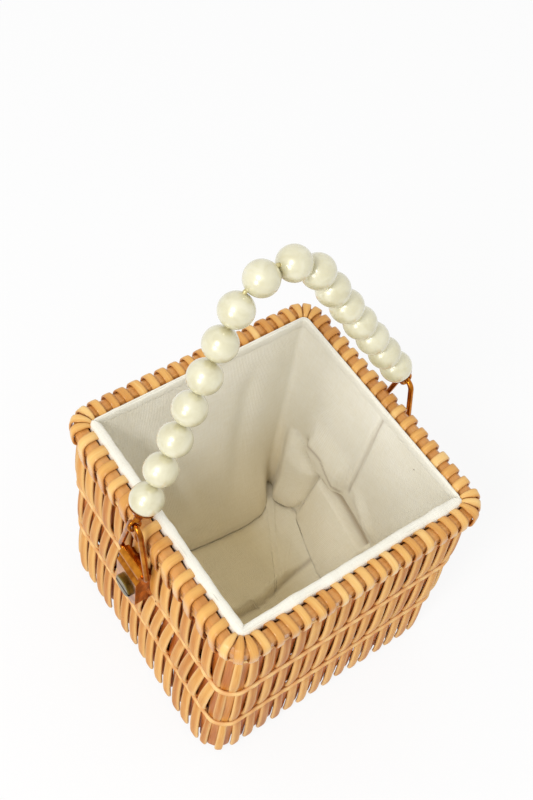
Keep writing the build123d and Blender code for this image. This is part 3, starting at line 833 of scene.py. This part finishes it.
def follow_folds(share, level):
    """A place on the right wall for a grid point, with the grid's lines led along the wall's folds."""
    if level > EDGE_LEVEL:
        hold = max(0.0, 1 - (level - EDGE_LEVEL) / EDGE_HOLD)
    else:
        hold = max(0.0, (level - FLOOR_LEVEL) / (EDGE_LEVEL - FLOOR_LEVEL))
    pull = max(0.0, 1 - abs(share - CREASE_SHARE) / CREASE_PULL) * (1 - smooth(*CREASE_PULL_LEVELS, level))
    height = level
    for _ in range(4):
        reach = STRAIGHT_HALF - corner_slack("right", share, height)
        place = share * reach + (ear_crease(height) - CREASE_SHARE * reach) * pull
        height = level + (flap_edge(place) - EDGE_LEVEL) * hold * (1 - smooth(*EDGE_HOLD_PLACES, abs(place)))
    return place, height


def painted_warm_shade(wall, along, level):
    """How much yellow-brown painted shade the cloth takes towards the bottom of the bag, least at the middle
    of the right wall.
    """
    most = WARM_MOST
    if wall == "right":
        most = WARM_LEAST + (WARM_MOST - WARM_LEAST) * smooth(*WARM_PLACES, abs(along))
    return most * (1 - smooth(*WARM_LEVELS, level))


stations = []
for wall, angle in WALLS.items():
    for k in range(LINER_COLUMNS[wall]):
        stations.append((wall, angle, 2 * k / LINER_COLUMNS[wall] - 1, None))
    for k in range(LINER_CORNER_COLUMNS):
        stations.append((wall, angle, None, 90 * k / LINER_CORNER_COLUMNS))
rows, columns = WALL_ROWS + FLOOR_ROWS, len(stations)
grid = np.zeros((rows, columns, 3))
shades = np.zeros((rows, columns, 4), np.float32)
for j, (wall, angle, share, turn) in enumerate(stations):
    for i, level in enumerate(ROW_LEVELS):
        place, dark = CORNER_PLACE, 0.0
        if turn is None:
            if wall == "right":
                place, level = follow_folds(share, level)
            else:
                place = share * (STRAIGHT_HALF - corner_slack(wall, share, level))
            # Painted shade along creases and seams, and painted yellow-brown shade deeper down
            dark = crease_shade(wall, place, level)
        point, axis = liner_point(wall, angle, place, turn, level)
        grid[i, j] = point + wrinkle(point, axis) * smooth(0.0, WRINKLE_START, i / (WALL_ROWS - 1))
        shades[i, j] = (dark, painted_warm_shade(wall, place, level), 0, 1)

# The liner's floor, with one long fold across it, a soft lip along the walls and painted shade along its back
# edge and its fold
FLOOR_POLE = np.array([-2.0, -29.0, FLOOR_LEVEL])
FLOOR_FOLD = ([-50, -33, -19, -4, 13, 27, 45], [-6, -11, -17, -17, -13.5, -11, -8])
FLOOR_FOLD_HEIGHT, FLOOR_FOLD_HALF, FLOOR_FOLD_FADE = 5.0, 1.8, (5, 38)
FLOOR_FOLD_PLACES = (-54, -40, 26, 38)
LIP_HEIGHT, LIP_BAND = 2.4, (0, 0.09, 0.1, 0.45)
FLOOR_WAVE, FLOOR_LIFT, FLOOR_WAVE_SCALE = 1.6, 1.2, 0.03
# Painted shade along the floor's back edge and along its fold
FLOOR_EDGE_SHADE, FLOOR_FOLD_SHADE = 0.6, 0.4
FLOOR_DARK_FROM, FLOOR_DARK_TO = -48, 36
FLOOR_WARM_SHADE, FLOOR_WARM_SHADE_DROP = 0.7, 0.4

for j, (wall, angle, share, turn) in enumerate(stations):
    foot = grid[WALL_ROWS - 1, j]
    inner = 1 - smooth(0.5, 0.95, abs(share)) if turn is None else 0.0
    gentle = inner if wall == "right" else 0.0
    for i in range(FLOOR_ROWS):
        inward = (i + 1) / FLOOR_ROWS
        point = foot + (FLOOR_POLE - foot) * inward
        x, y = point[0], point[1]
        wave = noise.noise(Vector((x * FLOOR_WAVE_SCALE, y * FLOOR_WAVE_SCALE, 5)))
        rise = FLOOR_WAVE * wave + FLOOR_LIFT
        fold_edge = look_up(FLOOR_FOLD, x)
        fold = band(y - fold_edge, -FLOOR_FOLD_HALF, FLOOR_FOLD_HALF, *FLOOR_FOLD_FADE)
        rise += FLOOR_FOLD_HEIGHT * fold * band(x, *FLOOR_FOLD_PLACES)
        lip = LIP_HEIGHT * band(inward, *LIP_BAND) * (inner - gentle)
        point[2] = FLOOR_LEVEL + max(0.0, rise) * smooth(0, 0.25 + 0.5 * gentle, inward) + lip
        # Painted shade along the back foot and the fold's edge
        dark = FLOOR_EDGE_SHADE * hill(inward, 0, 0.025) * smooth(-30, -16, x) * smooth(16, 20, y)
        if FLOOR_DARK_FROM < x < FLOOR_DARK_TO:
            dark += FLOOR_FOLD_SHADE * hill(y, fold_edge - 1.2, 1.5)
        # Painted yellow-brown shade on the floor, less towards the right wall
        warm_shade = FLOOR_WARM_SHADE - FLOOR_WARM_SHADE_DROP * smooth(8, 40, x)
        shades[WALL_ROWS + i, j] = (min(1.0, dark), warm_shade, 0, 1)
        grid[WALL_ROWS + i, j] = point

# The liner's mesh; the last face is left open at the pole
CLOTH_THICKNESS = 0.8
FLOOR_GRAIN_START = 0.7

faces = []
for i in range(rows - 1):
    for j in range(columns):
        k = (j + 1) % columns
        faces.append((i * columns + j, (i + 1) * columns + j, (i + 1) * columns + k, i * columns + k))
faces.pop()
depth = np.zeros((rows, columns))
depth[1:] = np.cumsum(np.linalg.norm(np.diff(grid, axis=0), axis=2), axis=0) * MM
round_way = np.concatenate([[0], np.cumsum(np.linalg.norm(np.diff(grid[0], axis=0), axis=1))]) * MM
grain = np.empty((rows, columns, 2))
grain[:WALL_ROWS, :, 0] = round_way
grain[:WALL_ROWS, :, 1] = depth[:WALL_ROWS]
grain[WALL_ROWS:] = grid[WALL_ROWS:, :, :2] * MM + (FLOOR_GRAIN_START, 0)
liner = add_piece("canvas_liner", (grid.reshape(-1, 3) * MM).tolist(), faces, grain.reshape(-1, 2), shades,
                  CANVAS, ["liner_wall_" + wall for wall in WALLS] + ["liner_floor"])
solid = liner.modifiers.new("cloth", "SOLIDIFY")
solid.thickness = CLOTH_THICKNESS * MM
solid.offset = 0

# Hem: a soft roll along the mouth, thin at the two walls that are seen from inside
HEM_OUT, HEM_LEVEL, HEM_STEPS = 62.9, 136.6, (90, 10)
HEM_HALF_WIDTH, HEM_HALF_HEIGHT = 2.8, 3.2
FAR_HEM, FAR_HEM_OUT, FAR_HEM_DROP = 0.36, 1.5, 1.2
SWAY_SCALE, RIPPLE_SCALE = 0.045, 0.13

hem = Builder()
strand = []
for point, out_axis in plan_path(HEM_OUT, *HEM_STEPS):
    sway = noise.noise(Vector((point[0] * SWAY_SCALE, point[1] * SWAY_SCALE, 2)))
    ripple = noise.noise(Vector((point[0] * RIPPLE_SCALE, point[1] * RIPPLE_SCALE, 8)))
    near = 1.0 if out_axis[0] < -0.5 or out_axis[1] < -0.5 else FAR_HEM
    level = HEM_LEVEL + 0.8 * ripple + 0.5 * sway - FAR_HEM_DROP * (1 - near)
    out = 0.9 * sway + FAR_HEM_OUT * (1 - near)
    strand.append((point + UP * level + out_axis * out, out_axis, UP,
                   (HEM_HALF_WIDTH + 0.4 * ripple + 0.7 * sway) * near, HEM_HALF_HEIGHT + 0.4 * sway,
                   (0.0, 0.0)))
hem.sweep(strand, HEM_ROLL, 0.5, closed=True)
hem_piece = hem.piece("rolled_hem", HEM, ["liner_hem"])

# CAD pieces that keep their own shape
LOOKS = {"pearl_beads": PEARL, "strand_core": WIRE, "base_stakes": BASE_REED, "base_weavers": BASE_REED,
         "screw_right": SHADED_GOLD, "screw_left": SHADED_GOLD}
for name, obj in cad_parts.items():
    if not obj.hide_render:
        obj.data.materials.clear()
        obj.data.materials.append(LOOKS.get(name, GOLD))

# Floor and background, white where they are seen and softer as a source of light
FLOOR_HALF = 3
FLOOR_GREY = (0.86, 0.86, 0.86, 1.0)
FLOOR_GLOW = 0.85
WHITE = (1, 1, 1, 1)
WORLD_LIGHT, WORLD_SEEN = 0.82, 1.0

floor_mesh = bpy.data.meshes.new("floor")
floor_mesh.from_pydata([(x * FLOOR_HALF, y * FLOOR_HALF, 0) for x, y in ((-1, -1), (1, -1), (1, 1), (-1, 1))],
                       [], [(0, 1, 2, 3)])
floor = bpy.data.objects.new("floor", floor_mesh)
bpy.context.scene.collection.objects.link(floor)
n = Nodes("floor")
n.set(Base_Color=FLOOR_GREY, Roughness=0.9)
glow = n.add("ShaderNodeEmission")
n.feed_all(glow, Color=WHITE)
blend = n.add("ShaderNodeMixShader")
glow_share = n.math("MULTIPLY", seen_directly(n.tree), FLOOR_GLOW)
for number, socket in enumerate((glow_share, n.bsdf.outputs[0], glow.outputs[0])):
    n.feed(blend.inputs[number], socket)
n.feed(n.tree.nodes["Material Output"].inputs["Surface"], blend.outputs[0])
floor_mesh.materials.append(n.material)

world = bpy.data.worlds.new("studio")
bpy.context.scene.world = world
world.use_nodes = True
tree = world.node_tree
background = tree.nodes["Background"]
background.inputs["Color"].default_value = WHITE
strength = tree.nodes.new("ShaderNodeMapRange")
strength.inputs["To Min"].default_value = WORLD_LIGHT
strength.inputs["To Max"].default_value = WORLD_SEEN
tree.links.new(seen_directly(tree), strength.inputs["Value"])
tree.links.new(strength.outputs["Result"], background.inputs["Strength"])

# Lamps, in metres and watts
LAMP_AIM = Vector((0, 0, 0.12))
LAMP_DISTANCE = 1.2


def area_light(name, direction, size, energy):
    light = bpy.data.lights.new(name, "AREA")
    light.shape = "DISK"
    light.size = size
    light.energy = energy
    obj = bpy.data.objects.new(name, light)
    bpy.context.scene.collection.objects.link(obj)
    way = Vector(direction).normalized() * LAMP_DISTANCE
    obj.location = LAMP_AIM + way
    obj.rotation_euler = way.to_track_quat("Z", "Y").to_euler()


area_light("key", (-0.61, -0.20, 0.77), 0.3, 4.8)
area_light("side", (-0.85, -0.30, 0.35), 0.5, 2.2)

# Camera, in metres and degrees
AZIMUTH, ELEVATION, ROLL = math.radians(-44.534), math.radians(55.251), math.radians(11.584)
CAMERA_TARGET = Vector((-0.00564, 0.00912, 0.1838))
CAMERA_DISTANCE = 0.5137
camera_data = bpy.data.cameras.new("camera")
camera_data.sensor_width = 36.0
camera_data.lens = 51.72
camera_data.clip_start = 0.01
camera = bpy.data.objects.new("camera", camera_data)
bpy.context.scene.collection.objects.link(camera)
back = Vector((math.sin(AZIMUTH) * math.cos(ELEVATION), -math.cos(AZIMUTH) * math.cos(ELEVATION),
               math.sin(ELEVATION)))
right = Vector((math.cos(AZIMUTH), math.sin(AZIMUTH), 0))
above = back.cross(right)
axes = Matrix((right * math.cos(ROLL) + above * math.sin(ROLL),
               -right * math.sin(ROLL) + above * math.cos(ROLL), back)).transposed()
camera.matrix_world = Matrix.Translation(CAMERA_TARGET + back * CAMERA_DISTANCE) @ axes.to_4x4()
bpy.context.scene.camera = camera
bpy.context.scene.view_settings.view_transform = "Standard"
